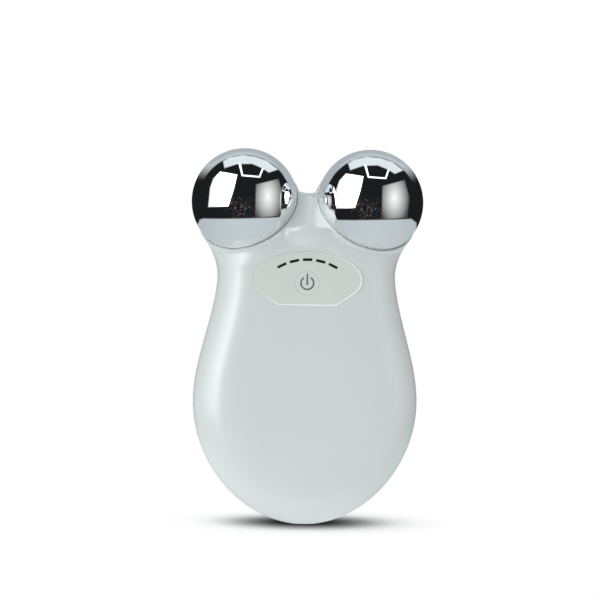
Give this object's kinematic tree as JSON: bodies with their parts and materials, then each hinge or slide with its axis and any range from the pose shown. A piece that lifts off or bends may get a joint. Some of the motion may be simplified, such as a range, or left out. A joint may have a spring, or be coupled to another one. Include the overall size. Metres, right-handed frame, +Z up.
{
  "type": "facial toning device",
  "caption": "Palm-sized facial toning device: a pear-shaped moulded housing with polished ball electrodes in sockets at its head and a power button on its front panel.",
  "frame": {"origin": "centre of the charging socket's mouth in the resting flat at the lower end, on the plane where the shells part", "axes": "+Z up along the length from the resting flat to the balls; the control panel faces -Y; +X to the right seen from the front"},
  "size_m": [0.0676, 0.036, 0.11],
  "materials": {
    "housing_plastic": "satin moulded",
    "panel_plastic": "satin moulded",
    "button_plastic": "satin moulded",
    "window_plastic": "smoked translucent",
    "ball_chrome": "mirror polished",
    "screw_steel": "zinc plated",
    "terminal_brass": "plated",
    "white_insulation": "extruded",
    "red_insulation": "extruded",
    "black_insulation": "extruded",
    "board_laminate": "solder mask",
    "black_plastic": "moulded",
    "lamp_resin": "cast resin",
    "coil_ferrite": "sintered",
    "capacitor_ceramic": "fired",
    "cell_foil": "laminated foil",
    "pad_foam": "closed cell foam",
    "connector_nylon": "moulded"
  },
  "bodies": {
    "housing": {"front_shell": "housing_plastic", "rear_shell": "housing_plastic", "control_panel": "panel_plastic", "light_guide": "window_plastic", "left_ball": "ball_chrome", "right_ball": "ball_chrome", "left_ball_screw": "screw_steel", "right_ball_screw": "screw_steel", "left_ball_terminal": "terminal_brass", "right_ball_terminal": "terminal_brass", "left_ball_lead": "white_insulation", "right_ball_lead": "white_insulation", "circuit_board": "board_laminate", "board_screws": "screw_steel", "switch_case": "black_plastic", "level_leds": "lamp_resin", "controller_chip": "black_plastic", "charger_chip": "black_plastic", "boost_coil": "coil_ferrite", "board_capacitors": "capacitor_ceramic", "battery_cell": "cell_foil", "battery_pad": "pad_foam", "battery_lead_red": "red_insulation", "battery_lead_black": "black_insulation", "battery_header": "connector_nylon", "battery_plug": "connector_nylon", "charging_socket": "black_plastic", "socket_pin": "terminal_brass", "socket_leads": "white_insulation"},
    "power_button": {"power_button": "button_plastic"},
    "switch_plunger": {"switch_plunger": "black_plastic"}
  },
  "joints": [
    {"name": "power_button_press", "type": "slide", "parent": "housing", "child": "power_button", "axis": [0, 1, 0], "range_m": [0, 0.0004], "stiffness_N_per_m": 1500},
    {"name": "switch_plunger_travel", "type": "slide", "parent": "housing", "child": "switch_plunger", "axis": [0, 1, 0], "range_m": [0, 0.0004]}
  ],
  "couplings": [
    {"joint": "switch_plunger_travel", "follows": "power_button_press", "ratio": 1}
  ]
}
